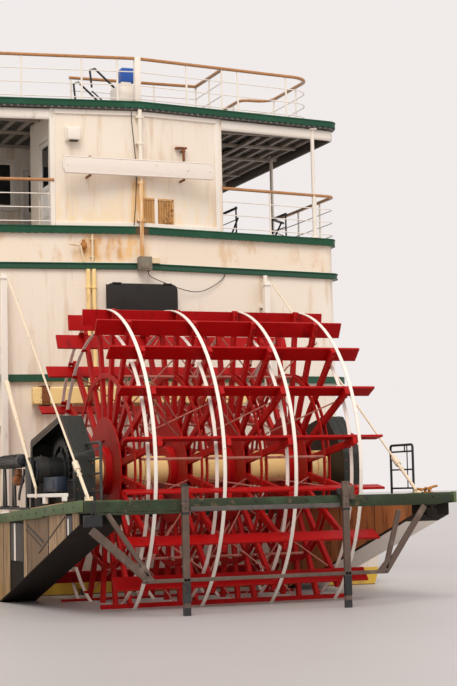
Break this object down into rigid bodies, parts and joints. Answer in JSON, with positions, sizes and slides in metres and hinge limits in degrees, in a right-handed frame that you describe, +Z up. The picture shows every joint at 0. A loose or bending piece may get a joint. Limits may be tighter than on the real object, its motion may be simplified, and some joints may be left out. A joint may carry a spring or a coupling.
{
  "type": "sternwheel riverboat, 1:2 scale model",
  "caption": "Shallow-draught passenger riverboat driven by a chain-driven sternwheel, as a half-size scale model.",
  "frame": {"origin": "middle of the flat bottom, under the middle of the boat's box", "axes": "+Y towards the bow, +X to starboard, +Z up"},
  "size_m": [5.38, 23.75, 7.1616],
  "materials": {
    "hull_paint": "matt, rust-stained",
    "white_paint": "satin, stained",
    "green_paint": "satin, weathered",
    "red_paint": "satin",
    "cream_paint": "satin, stained",
    "grey_paint": "matt",
    "machine_paint": "satin, greasy",
    "varnished_wood": "varnished"
  },
  "bodies": {
    "boat": {"hull": "hull_paint", "main_deck": "green_paint", "wheel_arm_port": "hull_paint", "wheel_arm_starboard": "hull_paint", "lower_transom": "white_paint", "upper_transom": "white_paint", "lower_wall_port": "white_paint", "upper_wall_port": "white_paint", "lower_wall_starboard": "white_paint", "upper_wall_starboard": "white_paint", "lower_wall_front": "white_paint", "upper_wall_front": "white_paint", "second_deck": "green_paint", "upper_ceiling": "green_paint", "third_deck": "green_paint", "belt": "white_paint", "top_deck": "green_paint", "aft_house": "white_paint", "third_cabin": "white_paint", "pilothouse": "white_paint", "pilothouse_roof": "green_paint", "top_rail": "varnished_wood", "third_rail_port": "white_paint", "third_rail_starboard": "white_paint", "bow_bulwark": "white_paint", "capstan": "grey_paint", "king_post_port": "white_paint", "tie_rod_port": "white_paint", "king_post_starboard": "white_paint", "tie_rod_starboard": "white_paint", "guard_beam": "green_paint", "guard_frame": "grey_paint", "bearing_port": "grey_paint", "chain_case_port": "machine_paint", "drive_port": "machine_paint", "bearing_starboard": "grey_paint", "chain_case_starboard": "machine_paint", "drive_starboard": "machine_paint", "box_beam": "cream_paint", "name_board": "white_paint", "centre_pipe": "cream_paint", "stern_lamp": "machine_paint", "lamp_cable": "machine_paint", "companion_stair": "grey_paint", "lower_stair": "grey_paint"},
    "paddle_wheel": {"wheel_shaft": "cream_paint", "wheel_frame_1": "red_paint", "wheel_frame_2": "red_paint", "wheel_frame_3": "red_paint", "wheel_frame_4": "red_paint", "wheel_buckets": "red_paint"},
    "rudder_port": {"rudder_port": "grey_paint"},
    "rudder_starboard": {"rudder_starboard": "grey_paint"},
    "boarding_door_port": {"boarding_door_port": "green_paint"},
    "boarding_door_starboard": {"boarding_door_starboard": "green_paint"},
    "aft_house_door": {"aft_house_door": "white_paint"},
    "pilothouse_door": {"pilothouse_door": "varnished_wood"},
    "arm_gate": {"arm_gate": "machine_paint"},
    "cabin_door": {"cabin_door": "white_paint"},
    "upper_front_door": {"upper_front_door": "white_paint"}
  },
  "joints": [
    {"name": "wheel_spin", "type": "hinge", "parent": "boat", "child": "paddle_wheel", "pos_m": [0, -9.875, 1.8], "axis": [1, 0, 0], "continuous": true},
    {"name": "rudder_port_turn", "type": "hinge", "parent": "boat", "child": "rudder_port", "pos_m": [-0.78, -8.275, 0.3], "axis": [0, 0, 1], "range_deg": [-35, 35]},
    {"name": "rudder_starboard_turn", "type": "hinge", "parent": "boat", "child": "rudder_starboard", "pos_m": [0.78, -8.275, 0.3], "axis": [0, 0, 1], "range_deg": [-35, 35]},
    {"name": "boarding_door_port_slide", "type": "slide", "parent": "boat", "child": "boarding_door_port", "axis": [0, -1, 0], "range_m": [0, 0.58]},
    {"name": "boarding_door_starboard_slide", "type": "slide", "parent": "boat", "child": "boarding_door_starboard", "axis": [0, -1, 0], "range_m": [0, 0.58]},
    {"name": "aft_house_door_swing", "type": "hinge", "parent": "boat", "child": "aft_house_door", "pos_m": [-0.962, -7.393, 5.06], "axis": [0, 0, 1], "range_deg": [-95, 0]},
    {"name": "pilothouse_door_swing", "type": "hinge", "parent": "boat", "child": "pilothouse_door", "pos_m": [-1.152, 3.227, 6.5], "axis": [0, 0, 1], "range_deg": [-95, 0]},
    {"name": "cabin_door_swing", "type": "hinge", "parent": "boat", "child": "cabin_door", "pos_m": [-0.757, -5.902, 5.06], "axis": [0, 0, 1], "range_deg": [-95, 0]},
    {"name": "upper_front_door_swing", "type": "hinge", "parent": "boat", "child": "upper_front_door", "pos_m": [0.303, 5.562, 3.4], "axis": [0, 0, 1], "range_deg": [0, 95]},
    {"name": "arm_gate_swing", "type": "hinge", "parent": "boat", "child": "arm_gate", "pos_m": [1.803, -10.572, 1.75], "axis": [0, 0, 1], "range_deg": [0, 90]}
  ],
  "couplings": [
    {"joint": "rudder_starboard_turn", "follows": "rudder_port_turn", "ratio": 1}
  ]
}
